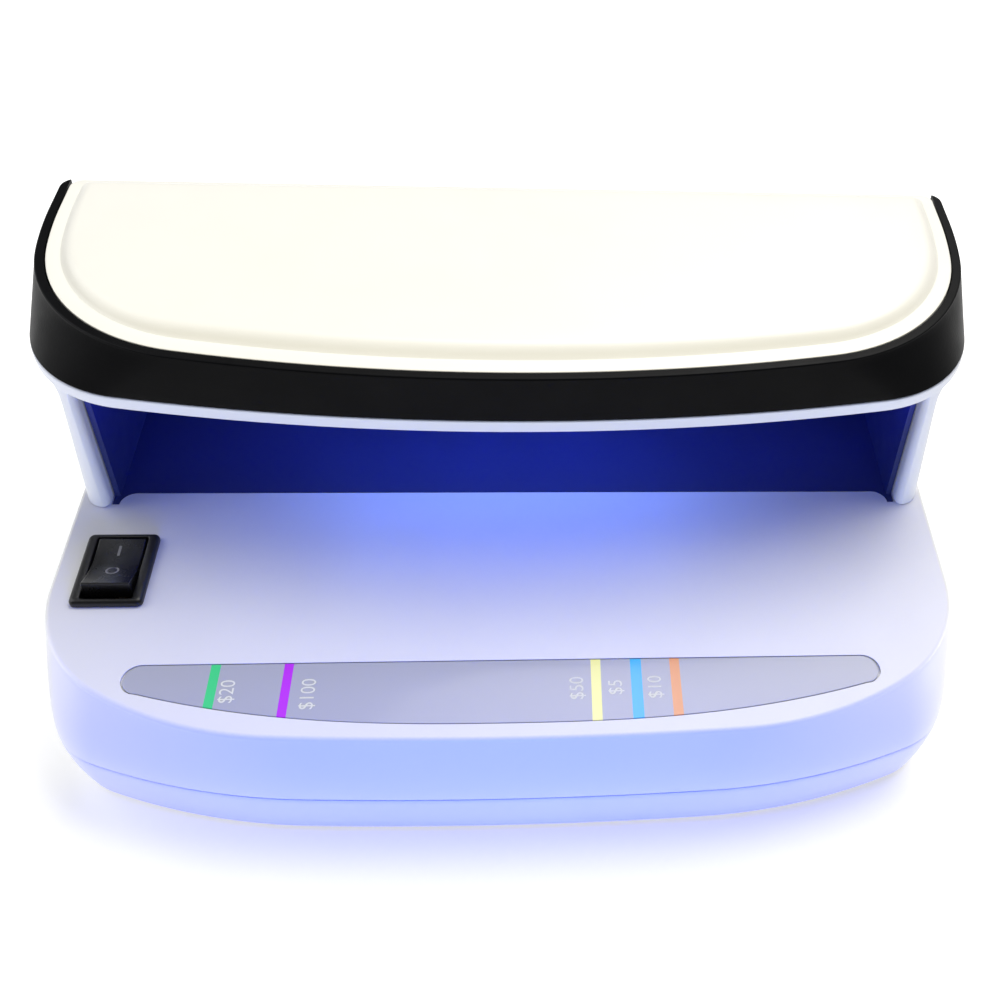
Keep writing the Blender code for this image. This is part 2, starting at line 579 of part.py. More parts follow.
def build_power():
    board = material("driver_board_green", (0.02, 0.16, 0.07), 0.45)
    black = material("inlet_black", (0.015, 0.015, 0.017), 0.4)
    nickel = material("inlet_nickel", (0.7, 0.7, 0.68), 0.25, 1.0)
    driver = solid("driver_board", prism(rounded(31.0, 21.0, 1.5), 7.95, 9.55), board)
    join(driver, box(-20, -6, -6, 6, 9.0, 12.2), cylinder(4.0, 9.0, 20.0, (6.0, -6.0), 18))
    join(driver, box(14, 26, -3, 3, 9.0, 13.5), box(-5, 5, 12, 18, 9.0, 15.0))
    for k in range(4):
        x = -18.0 + 5.0 * k
        join(driver, box(x, x + 3.0, -16.0, -14.4, 9.0, 10.6))

    y = BASE_REAR_Y
    case = box(INLET_X - 4.6, INLET_X + 4.6, y - 13, y - 1.3, INLET_Z - 4.9, INLET_Z + 3.6)
    inlet = solid("power_inlet", case, black)
    nose = turned([(4.5, -3.0), (4.5, 1.6), (4.2, 1.9)], (0, 0), 24)
    join(inlet, lying(nose, (INLET_X, y, INLET_Z), (0, 1, 0)))
    cut(inlet, lying(cylinder(3.1, -9.0, 5.0, (0, 0), 24), (INLET_X, y, INLET_Z), (0, 1, 0)))
    pin = turned([(1.0, -8.9), (1.0, 0.5), (0.5, 1.1)], (0, 0), 14)
    solid("inlet_pin", lying(pin, (INLET_X, y, INLET_Z), (0, 1, 0)), nickel)

    red = material("wire_red", (0.5, 0.02, 0.02), 0.45)
    blue = material("wire_violet", (0.12, 0.08, 0.45), 0.45)
    grey = material("wire_black", (0.02, 0.02, 0.02), 0.45)
    x, sy = SWITCH_XY
    path = [(x, sy - 6.2, 9.3), (x, sy - 6.2, 6.0), (x + 20, -12.0, 6.0), (-35.0, -8.0, 6.0)]
    path += [(-35.0, -8.0, 14.5), (-13.0, -4.0, 14.5), (-13.0, -4.0, 12.4)]
    solid("switch_wire", swept(path, 0.8), red)
    path = [(INLET_X, y - 13.2, 17.0), (INLET_X, 40.0, 17.0), (-38.0, 25.0, 17.0), (0.0, 27.0, 16.0)]
    path += [(0.0, 18.2, 13.0)]
    solid("inlet_wire", swept(path, 0.8), grey)
    path = [(20.0, 3.2, 12.0), (20.0, 12.0, 12.0), (8.0, 30.0, 18.0), (6.0, 50.0, 22.0)]
    path += [(6.0, 50.0, 72.5), (20.0, 36.0, 72.5), (38.0, 32.0, 76.8), (38.0, 20.0, 76.8)]
    path += [(38.0, 20.0, 75.6)]
    solid("lamp_wire", swept(path, 0.8), blue)


def main():
    clear_scene()
    build_base()
    build_label()
    build_switch()
    build_stand()
    build_head()
    build_lamp()
    build_power()


main()
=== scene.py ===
"""Looks of the counterfeit bill detector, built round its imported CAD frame. Lengths in the helpers
are millimetres; the scene is in metres."""

import json
import math

import bmesh
import bpy
from mathutils import Matrix, Vector


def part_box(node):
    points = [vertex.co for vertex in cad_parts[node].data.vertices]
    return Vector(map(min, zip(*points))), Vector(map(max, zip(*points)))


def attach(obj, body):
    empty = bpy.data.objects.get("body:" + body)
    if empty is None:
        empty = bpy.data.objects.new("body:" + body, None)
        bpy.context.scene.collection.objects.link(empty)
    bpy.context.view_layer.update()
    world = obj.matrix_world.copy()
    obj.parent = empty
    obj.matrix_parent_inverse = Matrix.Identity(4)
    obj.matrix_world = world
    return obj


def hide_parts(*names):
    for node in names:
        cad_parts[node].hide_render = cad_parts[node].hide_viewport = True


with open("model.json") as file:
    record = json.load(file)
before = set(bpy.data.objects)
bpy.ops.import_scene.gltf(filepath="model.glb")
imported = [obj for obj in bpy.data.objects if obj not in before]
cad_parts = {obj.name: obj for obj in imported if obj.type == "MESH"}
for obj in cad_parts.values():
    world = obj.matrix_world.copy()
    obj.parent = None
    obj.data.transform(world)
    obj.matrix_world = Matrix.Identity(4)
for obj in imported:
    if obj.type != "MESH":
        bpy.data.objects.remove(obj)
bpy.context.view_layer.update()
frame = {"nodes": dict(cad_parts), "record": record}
scene = bpy.context.scene
MM = 0.001


# ---------------------------------------------------------------- heights and sizes from the frame
def low(node, axis):
    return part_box(node)[0][axis] / MM


def high(node, axis):
    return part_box(node)[1][axis] / MM


def centre_of(node):
    """Middle of a CAD node's box, in millimetres."""
    first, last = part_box(node)
    return tuple((p + q) / 2 / MM for p, q in zip(first, last))


# Heights. The CAD leaves a gap under the stand and under the band.
GAP = 0.2
BASE_TOP = low("stand_frame", 2) - GAP
PARTING = (high("base_bottom_shell", 2) + low("base_top_shell", 2)) / 2
SHELL_LOW = low("base_bottom_shell", 2)
BAND_LOW = low("head_band", 2)
TRAY_TOP = BAND_LOW - GAP
TRAY = TRAY_TOP - 3.0
BAND_TOP = high("head_band", 2)
PLATEAU = high("top_cover", 2)

# Plan outlines: front and rear Y, arcs from the front centre outward as (radius, end heading in
# degrees), and the radius of the rear corners. The belly is the widest line, at the parting.
BASE_FRONT_Y = -63.5
BASE_REAR_Y = 65.5
BASE_ARCS = ((816.0, 3.27), (75.2, 32.4), (31.9, 90.0))
BASE_REAR_R = 18.0
BELLY_FRONT_Y = -67.5
BELLY_REAR_Y = 67.5
BELLY_ARCS = ((938.5, 2.5), (134.5, 21.4), (16.5, 90.0))
BELLY_REAR_R = 20.0
HEAD_FRONT_Y = -8.7
HEAD_REAR_Y = 58.6
HEAD_ARCS = ((373.5, 10.4), (41.0, 82.0), (110.0, 90.0))
HEAD_REAR_R = 3.0
SKIRT_FRONT_Y = -11.9
SKIRT_ARCS = ((474.0, 9.75), (26.9, 78.0), (45.0, 90.0))
STAND_FRONT_Y = -1.0
STAND_REAR_Y = 58.0
STAND_HALF = 95.8

WALL = 2.2
FILLET = 1.1
# Softened shell edges at the parting, as (inset, height from the parting).
GROOVE = ((0.45, 0.10), (0.15, 0.18), (0.0, 0.45))
RECESS_DEPTH = 0.6
RECESS_GAP = 0.2
BAND_TOP_W = 2.0
LIP = 0.15
CHAMBER_X = 90.0
CHAMBER_REAR_Y = 38.5
CHAMBER_R = 9.3

# The rocker's centre, pins and rest angle, then its dished top: half length, height of the dish's
# middle above the pins, how far the ends rise above that, and the power of the curve.
SWITCH = (-84.4, -19.8)
PIVOT_Z = 31.0
TILT = math.radians(-10.0)
KEY_HALF = 7.5
KEY_MIDDLE = 1.85
KEY_RISE = 1.45
KEY_CURVE = 1.6

# Points along each of an outline's three arcs.
ARC_STEPS = (26, 22, 18)


# ---------------------------------------------------------------- shapes
def arc(centre, radius, start, end, count):
    points = []
    for k in range(count + 1):
        a = math.radians(start + (end - start) * k / count)
        points.append((centre[0] + radius * math.cos(a), centre[1] + radius * math.sin(a)))
    return points


def plan(front_y, rear_y, arcs, rear_r, grow=0.0, shift=0.0, counts=ARC_STEPS, rear_count=14):
    """Closed outline of tangent arcs from the front centre round to the rear."""
    front = front_y - grow
    right = [(0.0, front + shift)]
    centre = (0.0, front + arcs[0][0] + grow)
    heading = 0.0
    last = arcs[0][0] + grow
    for (radius, end), count in zip(arcs, counts):
        r = radius + grow
        t = math.radians(heading)
        centre = (centre[0] + (last - r) * math.sin(t), centre[1] - (last - r) * math.cos(t))
        points = arc(centre, r, heading - 90.0, end - 90.0, count)
        right += [(x, y + shift) for x, y in points[1:]]
        heading = end
        last = r
    half = right[-1][0]
    r = max(rear_r + grow, 1.0)
    corner = (half - r, rear_y + grow - r)
    right += [(x, y + shift) for x, y in arc(corner, r, 0.0, 90.0, rear_count)]
    left = [(-x, y) for x, y in reversed(right[1:])]
    return right + left


def base_plan(grow):
    return plan(BASE_FRONT_Y, BASE_REAR_Y, BASE_ARCS, BASE_REAR_R, grow)


def belly_plan(grow):
    return plan(BELLY_FRONT_Y, BELLY_REAR_Y, BELLY_ARCS, BELLY_REAR_R, grow)


def mirrored(right):
    """The right half of an outline, followed by its mirror image back to the start."""
    return right + [(-x, y) for x, y in reversed(right)]


def blend(first, second, weight):
    """Outline between two others, point by point. A weight of 1 gives the first."""
    pairs = zip(first, second)
    return [(x1 + weight * (x0 - x1), y1 + weight * (y0 - y1)) for (x0, y0), (x1, y1) in pairs]


def wall_plan(z, grow=0.0):
    """Outline of the base wall at a height between the belly and the top edge."""
    top = BASE_TOP - FILLET
    w = math.sin(math.pi / 2 * min(1.0, (top - z) / (top - PARTING)))
    return blend(belly_plan(grow), base_plan(grow), w)


def head_plan(grow, shift=0.0):
    return plan(HEAD_FRONT_Y, HEAD_REAR_Y, HEAD_ARCS, HEAD_REAR_R, grow, shift)


def rim_plan(grow):
    """Outline of the band's top edge, whose rear stays in the plane of the head's rear."""
    return plan(HEAD_FRONT_Y, HEAD_REAR_Y - grow, HEAD_ARCS, HEAD_REAR_R - grow, grow)


def skirt_plan(grow):
    return plan(SKIRT_FRONT_Y, HEAD_REAR_Y, SKIRT_ARCS, HEAD_REAR_R, grow)


def rounded(half_x, half_y, radius, centre=(0.0, 0.0), count=8):
    points = []
    for sx, sy, start in ((1, -1, -90.0), (1, 1, 0.0), (-1, 1, 90.0), (-1, -1, 180.0)):
        corner = (centre[0] + sx * (half_x - radius), centre[1] + sy * (half_y - radius))
        points += arc(corner, radius, start, start + 90.0, count)
    return points


def loft(rings, loop=False):
    """Skin through rings of (outline, height), with flat ends or, for a loop, back to the first ring."""
    size = len(rings[0][0])
    verts = [(x, y, z) for outline, z in rings for x, y in outline]
    faces = []
    total = len(rings)
    for k in range(total if loop else total - 1):
        a = k * size
        b = (k + 1) % total * size
        for i in range(size):
            j = (i + 1) % size
            faces.append((a + i, a + j, b + j, b + i))
    if not loop:
        faces.append(tuple(reversed(range(size))))
        faces.append(tuple(range((total - 1) * size, total * size)))
    return verts, faces


def prism(outline, z0, z1):
    return loft([(outline, z0), (outline, z1)])


def box(x0, x1, y0, y1, z0, z1):
    return prism([(x0, y0), (x1, y0), (x1, y1), (x0, y1)], z0, z1)


def turned(profile, centre=(0.0, 0.0), segments=40):
    """Solid of revolution about a vertical axis, from a profile of (radius, height)."""
    last = 360.0 * (segments - 1) / segments
    return loft([(arc(centre, radius, 0.0, last, segments - 1), z) for radius, z in profile])


def moved(shape, matrix):
    verts, faces = shape
    return [tuple(matrix @ Vector(v)) for v in verts], faces


def lying(shape, centre, axis):
    """The shape with its Z axis laid along another axis, then moved to the centre."""
    turn = Vector((0, 0, 1)).rotation_difference(Vector(axis)).to_matrix().to_4x4()
    return moved(shape, Matrix.Translation(centre) @ turn)


# ---------------------------------------------------------------- objects
def solid(name, shape, mat=None, smooth=32.0):
    verts, faces = shape
    mesh = bpy.data.meshes.new(name)
    mesh.from_pydata([tuple(Vector(v) * MM) for v in verts], [], faces)
    work = bmesh.new()
    work.from_mesh(mesh)
    bmesh.ops.recalc_face_normals(work, faces=work.faces)
    if work.calc_volume(signed=True) < 0:
        bmesh.ops.reverse_faces(work, faces=work.faces)
    work.to_mesh(mesh)
    work.free()
    obj = bpy.data.objects.new(name, mesh)
    scene.collection.objects.link(obj)
    if mat:
        mesh.materials.append(mat)
    shade(obj, smooth)
    return obj


def shade(obj, angle):
    for face in obj.data.polygons:
        face.use_smooth = True
    obj.data.set_sharp_from_angle(angle=math.radians(angle))


def bake(obj, smooth=32.0):
    """Applies the object's modifiers to its mesh."""
    graph = bpy.context.evaluated_depsgraph_get()
    mesh = bpy.data.meshes.new_from_object(obj.evaluated_get(graph))
    obj.modifiers.clear()
    old = obj.data
    obj.data = mesh
    bpy.data.meshes.remove(old)
    shade(obj, smooth)


def combine(obj, operation, shapes):
    """Boolean of obj with each shape in turn, applied at once."""
    tools = []
    for k, shape in enumerate(shapes):
        tool = solid(f"tool_{obj.name}_{k}", shape)
        step = obj.modifiers.new("step", "BOOLEAN")
        step.operation = operation
        step.solver = "EXACT"
        step.object = tool
        tools.append(tool)
    bake(obj)
    for tool in tools:
        bpy.data.objects.remove(tool, do_unlink=True)


def soften(obj, width, segments=3, angle=35.0, smooth=40.0):
    """Rounds the sharp edges of a mesh and evens its shading."""
    step = obj.modifiers.new("soften", "BEVEL")
    step.width = width * MM
    step.segments = segments
    step.limit_method = "ANGLE"
    step.angle_limit = math.radians(angle)
    step.miter_outer = "MITER_ARC"
    step.use_clamp_overlap = True
    step.harden_normals = False
    bake(obj, smooth)
    even_shading(obj)


def even_shading(obj):
    even = obj.modifiers.new("even", "WEIGHTED_NORMAL")
    even.keep_sharp = True


def stands_for(obj, body, slot, *nodes):
    """Fixes a piece to its body and hides the CAD nodes it replaces. The slot argument is not used."""
    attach(obj, body)
    if nodes:
        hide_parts(*nodes)


# ---------------------------------------------------------------- materials
def link(tree, a, b):
    tree.links.new(a, b)


def surface(name, colour, rough, grain=(2200.0, 0.05), tone=0.03, tone_scale=28.0, rough_range=0.06,
            metallic=0.0, coat=0.0, specular=0.5, transmission=0.0, glow=None, strength=0.0,
            stretch=(1.0, 1.0, 1.0), scuff=0.0):
    """Procedural finish: slow tone drift, roughness patches, fine moulded grain and faint scuffs."""
    mat = bpy.data.materials.new(name)
    mat.use_nodes = True
    tree = mat.node_tree
    shader = tree.nodes["Principled BSDF"]
    shader.inputs["Metallic"].default_value = metallic
    shader.inputs["Coat Weight"].default_value = coat
    shader.inputs["Coat Roughness"].default_value = 0.08
    shader.inputs["Specular IOR Level"].default_value = specular
    shader.inputs["Transmission Weight"].default_value = transmission
    where = tree.nodes.new("ShaderNodeTexCoord")
    mapping = tree.nodes.new("ShaderNodeMapping")
    mapping.inputs["Scale"].default_value = stretch
    link(tree, where.outputs["Object"], mapping.inputs["Vector"])

    def noise(scale, detail, roughness=0.5):
        node = tree.nodes.new("ShaderNodeTexNoise")
        node.inputs["Scale"].default_value = scale
        node.inputs["Detail"].default_value = detail
        node.inputs["Roughness"].default_value = roughness
        link(tree, mapping.outputs["Vector"], node.inputs["Vector"])
        return node.outputs["Fac"]

    def spread(value, low_in, high_in, low_out, high_out):
        node = tree.nodes.new("ShaderNodeMapRange")
        node.inputs["From Min"].default_value = low_in
        node.inputs["From Max"].default_value = high_in
        node.inputs["To Min"].default_value = low_out
        node.inputs["To Max"].default_value = high_out
        link(tree, value, node.inputs["Value"])
        return node.outputs["Result"]

    slow = noise(tone_scale, 4.0, 0.55)
    drift = tree.nodes.new("ShaderNodeMix")
    drift.data_type = "RGBA"
    dark = [c * (1 - tone) for c in colour]
    light = [min(1.0, c * (1 + tone)) for c in colour]
    drift.inputs["A"].default_value = (*dark, 1.0)
    drift.inputs["B"].default_value = (*light, 1.0)
    link(tree, spread(slow, 0.3, 0.7, 0.0, 1.0), drift.inputs["Factor"])
    link(tree, drift.outputs["Result"], shader.inputs["Base Color"])

    patches = noise(tone_scale * 3.1, 5.0, 0.6)
    base_rough = spread(patches, 0.3, 0.7, max(0.02, rough - rough_range), rough + rough_range)
    if scuff:
        lines = noise(420.0, 2.0, 0.7)
        hit = spread(lines, 0.66, 0.74, 0.0, scuff)
        add = tree.nodes.new("ShaderNodeMath")
        add.operation = "ADD"
        link(tree, base_rough, add.inputs[0])
        link(tree, hit, add.inputs[1])
        base_rough = add.outputs["Value"]
    link(tree, base_rough, shader.inputs["Roughness"])

    if grain[1]:
        fine = noise(grain[0], 3.0, 0.6)
        bump = tree.nodes.new("ShaderNodeBump")
        bump.inputs["Strength"].default_value = grain[1]
        bump.inputs["Distance"].default_value = 0.0002
        link(tree, fine, bump.inputs["Height"])
        link(tree, bump.outputs["Normal"], shader.inputs["Normal"])
    if glow:
        shader.inputs["Emission Color"].default_value = (*glow, 1.0)
        shader.inputs["Emission Strength"].default_value = strength
    mat.diffuse_color = (*colour, 1.0)
    return mat


def striped_film(name, colour, stripes, rough):
    """Grey printed film with coloured stripes, each (centre x, half width, colour) in millimetres."""
    mat = surface(name, colour, rough, grain=(1500.0, 0.02), tone=0.012, rough_range=0.02, coat=0.25)
    tree = mat.node_tree
    shader = tree.nodes["Principled BSDF"]
    current = shader.inputs["Base Color"].links[0].from_socket
    where = tree.nodes.new("ShaderNodeTexCoord")
    split = tree.nodes.new("ShaderNodeSeparateXYZ")
    link(tree, where.outputs["Object"], split.inputs["Vector"])
    for x, half, tint in stripes:
        inside = tree.nodes.new("ShaderNodeMath")
        inside.operation = "COMPARE"
        inside.inputs[1].default_value = x * MM
        inside.inputs[2].default_value = half * MM
        link(tree, split.outputs["X"], inside.inputs[0])
        mix = tree.nodes.new("ShaderNodeMix")
        mix.data_type = "RGBA"
        mix.inputs["B"].default_value = (*tint, 1.0)
        link(tree, inside.outputs["Value"], mix.inputs["Factor"])
        link(tree, current, mix.inputs["A"])
        current = mix.outputs["Result"]
    link(tree, current, shader.inputs["Base Color"])
    return mat


# Stripes of the guide label: centre x, half width, colour.
STRIPES = (
    (-59.2, 0.95, (0.04, 0.66, 0.21)),
    (-44.7, 0.92, (0.50, 0.01, 0.75)),
    (17.5, 1.02, (0.90, 0.88, 0.30)),
    (25.8, 1.15, (0.012, 0.44, 0.74)),
    (33.9, 1.02, (0.78, 0.32, 0.13)),
)
# Denominations printed beside them: name, text, centre x, centre y.
MARKS = (
    ("mark_20", "$20", -56.0, -51.0),
    ("mark_100", "$100", -40.1, -51.9),
    ("mark_50", "$50", 13.6, -51.5),
    ("mark_5", "$5", 21.5, -51.4),
    ("mark_10", "$10", 29.6, -51.5),
)


CASE = (0.74, 0.74, 0.745)
SWITCH_BLACK = (0.008, 0.008, 0.009)
BOARD_GREEN = (0.015, 0.13, 0.05)


def make_materials():
    mats = {}
    mats["base_top_shell"] = surface("m_case_top", CASE, 0.40, (1800.0, 0.10), 0.015, scuff=0.08)
    # The lower shell's slightly darker, bluer white is painted shade and painted blue light on the lower
    # wall.
    mats["base_bottom_shell"] = surface("m_case_low_painted_blue", (0.72, 0.72, 0.75), 0.42, (1800.0, 0.10), 0.015)
    mats["stand_frame"] = surface("m_stand", CASE, 0.38, (1800.0, 0.08), 0.015)
    mats["top_cover"] = surface("m_cover", (0.89, 0.88, 0.83), 0.34, (1500.0, 0.06), 0.012, scuff=0.06)
    mats["head_band"] = surface("m_band", (0.0022, 0.0023, 0.003), 0.42, (1600.0, 0.12), 0.2,
                                specular=0.10)
    # The liner's navy colour is dark plastic plus painted shade and painted blue lamp light in the chamber.
    mats["chamber_liner"] = surface("m_liner_painted_shade_glow", (0.02, 0.028, 0.11), 0.42, (1500.0, 0.12), 0.10,
                                    specular=0.25)
    mats["guide_label"] = striped_film("m_label", (0.40, 0.41, 0.46), STRIPES, 0.34)
    mats["print_white"] = surface("m_print", (0.75, 0.77, 0.80), 0.45, (3000.0, 0.02), 0.04)
    mats["switch_housing"] = surface("m_switch", SWITCH_BLACK, 0.34, (2400.0, 0.16), 0.2)
    mats["switch_rocker"] = surface("m_rocker", SWITCH_BLACK, 0.26, (2400.0, 0.08), 0.2)
    mats["switch_print"] = surface("m_switch_print", (0.20, 0.20, 0.22), 0.5, (3000.0, 0.03), 0.1)
    mats["switch_plunger"] = surface("m_nylon", (0.70, 0.67, 0.60), 0.5, (2000.0, 0.06), 0.05)
    mats["contact_brass"] = surface("m_brass", (0.80, 0.58, 0.25), 0.28, (900.0, 0.05), 0.1,
                                    metallic=1.0, stretch=(1.0, 8.0, 1.0))
    mats["lamp_window"] = surface("m_window", (0.45, 0.38, 0.95), 0.08, (800.0, 0.01), 0.03,
                                  transmission=0.85)
    mats["lamp_reflector"] = surface("m_mirror", (0.82, 0.82, 0.85), 0.14, (700.0, 0.03), 0.03,
                                     metallic=1.0)
    for slot, name in (("lamp_board", "m_board"), ("driver_board", "m_board_2")):
        mats[slot] = surface(name, BOARD_GREEN, 0.4, (1200.0, 0.10), 0.25, tone_scale=160.0)
    mats["lamp_diode"] = surface("m_diode", (0.30, 0.35, 0.95), 0.12, (800.0, 0.01), 0.05,
                                 glow=(0.12, 0.30, 1.0), strength=25.0)
    mats["power_inlet"] = surface("m_inlet", (0.012, 0.012, 0.013), 0.36, (2000.0, 0.12), 0.2)
    mats["inlet_pin"] = surface("m_pin", (0.75, 0.74, 0.70), 0.2, (900.0, 0.03), 0.06, metallic=1.0)
    mats["screw_steel"] = surface("m_steel", (0.58, 0.59, 0.62), 0.28, (1100.0, 0.08), 0.1, metallic=1.0)
    mats["foot_rubber"] = surface("m_rubber", (0.02, 0.02, 0.022), 0.75, (1400.0, 0.35), 0.2)
    wires = (
        ("switch_wire", "m_wire_red", (0.45, 0.015, 0.015)),
        ("inlet_wire", "m_wire_black", (0.015, 0.015, 0.015)),
        ("lamp_wire", "m_wire_violet", (0.10, 0.06, 0.40)),
    )
    for slot, name, colour in wires:
        mats[slot] = surface(name, colour, 0.42, (1200.0, 0.08), 0.1)
    return mats


# ---------------------------------------------------------------- camera
def make_camera():
    """The photograph's camera. The shift stands for its off-centre crop."""
    data = bpy.data.cameras.new("camera")
    data.sensor_width = 36.0
    data.lens = 45.82
    data.shift_x = -0.148
    data.shift_y = -0.0529
    data.clip_start = 0.01
    data.clip_end = 30.0
    cam = bpy.data.objects.new("camera", data)
    scene.collection.objects.link(cam)
    scene.camera = cam
    pitch, yaw, roll = (math.radians(v) for v in (44.273, -7.092, 4.992))
    level = math.cos(pitch)
    ahead = Vector((-math.sin(yaw) * level, math.cos(yaw) * level, -math.sin(pitch)))
    right = Vector((math.cos(yaw), math.sin(yaw), 0.0))
    up = right.cross(ahead)
    rolled_right = right * math.cos(roll) + up * math.sin(roll)
    rolled_up = up * math.cos(roll) - right * math.sin(roll)
    turn = Matrix((rolled_right, rolled_up, -ahead)).transposed()
    place = Vector((5.01, -202.12, 216.76 + BASE_TOP)) * MM
    cam.matrix_world = Matrix.Translation(place) @ turn.to_4x4()


# ---------------------------------------------------------------- base
def label_outline(grow, count=40):
    """Outline of the guide strip: a bowed front edge and blunt tips."""
    half = 73.5 + grow
    middle_y = -59.4 - grow
    bow = 8.2
    front = []
    for k in range(-count, count + 1):
        x = half * k / count
        front.append((x, middle_y + bow * abs(x / half) ** 2.6))
    tip = 3.4 + grow
    right = arc((half, -47.8), tip, -70.0, 90.0, 14)
    left = [(-x, y) for x, y in reversed(right)]
    return front + right + left


def liner_floor(grow=0.0, count=12):
    """Outline of the chamber's floor, with an arm along each leg."""
    half = CHAMBER_X - 0.3 + grow
    rear = CHAMBER_REAR_Y - 0.3 + grow
    radius = CHAMBER_R - 0.3 + grow
    sweep = 3.4
    inner = CHAMBER_X - 1.5 - grow
    front = 3.6 - grow
    tip = STAND_FRONT_Y + 1.2 - grow
    right = arc((inner - sweep, front - sweep), sweep, 90.0, 5.0, count)
    right += [(inner, tip), (half, tip)]
    right += arc((half - radius, rear - radius), radius, 0.0, 90.0, count)
    return mirrored(right)


def build_case_top(mats):
    """Top shell as a skin: under the deck, down the inside, round the parting, up and over."""
    z = BASE_TOP
    rings = [(base_plan(-3.8), z - 2.4), (base_plan(-2.8), z - 2.9)]
    rings += [(wall_plan(h, -WALL), h) for h in (25.0, 20.0)]
    rings.append((belly_plan(-WALL - 0.2), PARTING + GROOVE[0][1]))
    rings += [(belly_plan(-inset), PARTING + rise) for inset, rise in GROOVE]
    start = PARTING + GROOVE[-1][1]
    steps = 14
    for k in range(1, steps + 1):
        h = start + (z - FILLET - start) * k / steps
        rings.append((wall_plan(h), h))
    steps = 8
    for k in range(1, steps + 1):
        a = math.radians(90.0 * k / steps)
        rings.append((base_plan(FILLET * (math.cos(a) - 1)), z - FILLET * (1 - math.sin(a))))
    rings.append((base_plan(-FILLET - 0.6), z))
    top = solid("case_top", loft(rings), mats["base_top_shell"])

    recesses = (label_outline(RECESS_GAP), liner_floor(RECESS_GAP))
    holes = [prism(outline, z - RECESS_DEPTH, z + 2) for outline in recesses]
    switch_hole = rounded(6.6, 9.5, 0.6, SWITCH)
    holes.append(prism(switch_hole, 20.0, 40.0))
    inlet_x, _, inlet_z = centre_of("inlet_pin")
    bore = turned([(4.8, -8.0), (4.8, 8.0)])
    holes.append(lying(bore, (inlet_x, BASE_REAR_Y + 1, inlet_z), (0, 1, 0)))
    combine(top, "DIFFERENCE", holes)
    even_shading(top)
    stands_for(top, "housing", "base_top_shell", "base_top_shell")


def build_case_low(mats):
    """Bottom shell as a skin: from its floor's edge up the outside and back down the inside."""
    edge = [(-3.6, 0.0), (-2.9, 0.0), (-2.6, 0.08), (-2.35, 0.3), (-2.2, 0.65)]
    wall = [(grow, SHELL_LOW + h) for grow, h in edge]
    start = wall[-1][1]
    span = PARTING - GROOVE[-1][1] - start
    steps = 14
    for k in range(1, steps + 1):
        t = 1 - k / steps
        wall.append((-0.02 - 2.18 * t**1.7, start + span * k / steps))
    wall += [(-inset, PARTING - rise) for inset, rise in reversed(GROOVE[:2])]
    wall += [(-2.4, PARTING - GROOVE[0][1]), (-2.7, 8.0), (-3.6, 3.6), (-4.2, 3.0)]
    bottom = solid("case_low", loft([(belly_plan(grow), h) for grow, h in wall]), mats["base_bottom_shell"])
    holes = []
    for k in range(1, 5):
        holes.append(turned([(3.2, 0.0), (3.2, 3.9)], centre_of(f"base_screw_{k}")[:2]))
        holes.append(turned([(5.3, 0.0), (5.3, 2.1)], centre_of(f"foot_{k}")[:2]))
    combine(bottom, "DIFFERENCE", holes)
    stands_for(bottom, "housing", "base_bottom_shell", "base_bottom_shell")


def print_mesh(name, text):
    """Thin raised lettering, centred on its origin."""
    curve = bpy.data.curves.new(name, "FONT")
    curve.body = text
    curve.size = 4.1 * MM
    curve.extrude = 0.012 * MM
    curve.offset = -0.02 * MM
    curve.align_x = "CENTER"
    curve.align_y = "CENTER"
    temp = bpy.data.objects.new(name + "_text", curve)
    scene.collection.objects.link(temp)
    bpy.context.view_layer.update()
    graph = bpy.context.evaluated_depsgraph_get()
    mesh = bpy.data.meshes.new_from_object(temp.evaluated_get(graph))
    bpy.data.objects.remove(temp, do_unlink=True)
    mesh.name = name
    return mesh


def build_label(mats):
    z = BASE_TOP
    film_edge = ((0.0, 0.58), (0.0, 0.10), (-0.07, 0.03), (-0.2, 0.02))
    rings = [(label_outline(grow), z - depth) for grow, depth in film_edge]
    film = solid("label_film", loft(rings), mats["guide_label"])
    stands_for(film, "housing", "guide_label", "guide_label")
    narrow = Matrix.Diagonal((0.9, 1.0, 1.0, 1.0))
    for name, text, x, y in MARKS:
        mesh = print_mesh(name, text)
        place = Matrix.Translation(Vector((x, y, z - 0.012)) * MM)
        mesh.transform(place @ Matrix.Rotation(math.pi / 2, 4, "Z") @ narrow)
        mesh.materials.clear()
        mesh.materials.append(mats["print_white"])
        mark = bpy.data.objects.new(name, mesh)
        scene.collection.objects.link(mark)
        stands_for(mark, "housing", "guide_label")


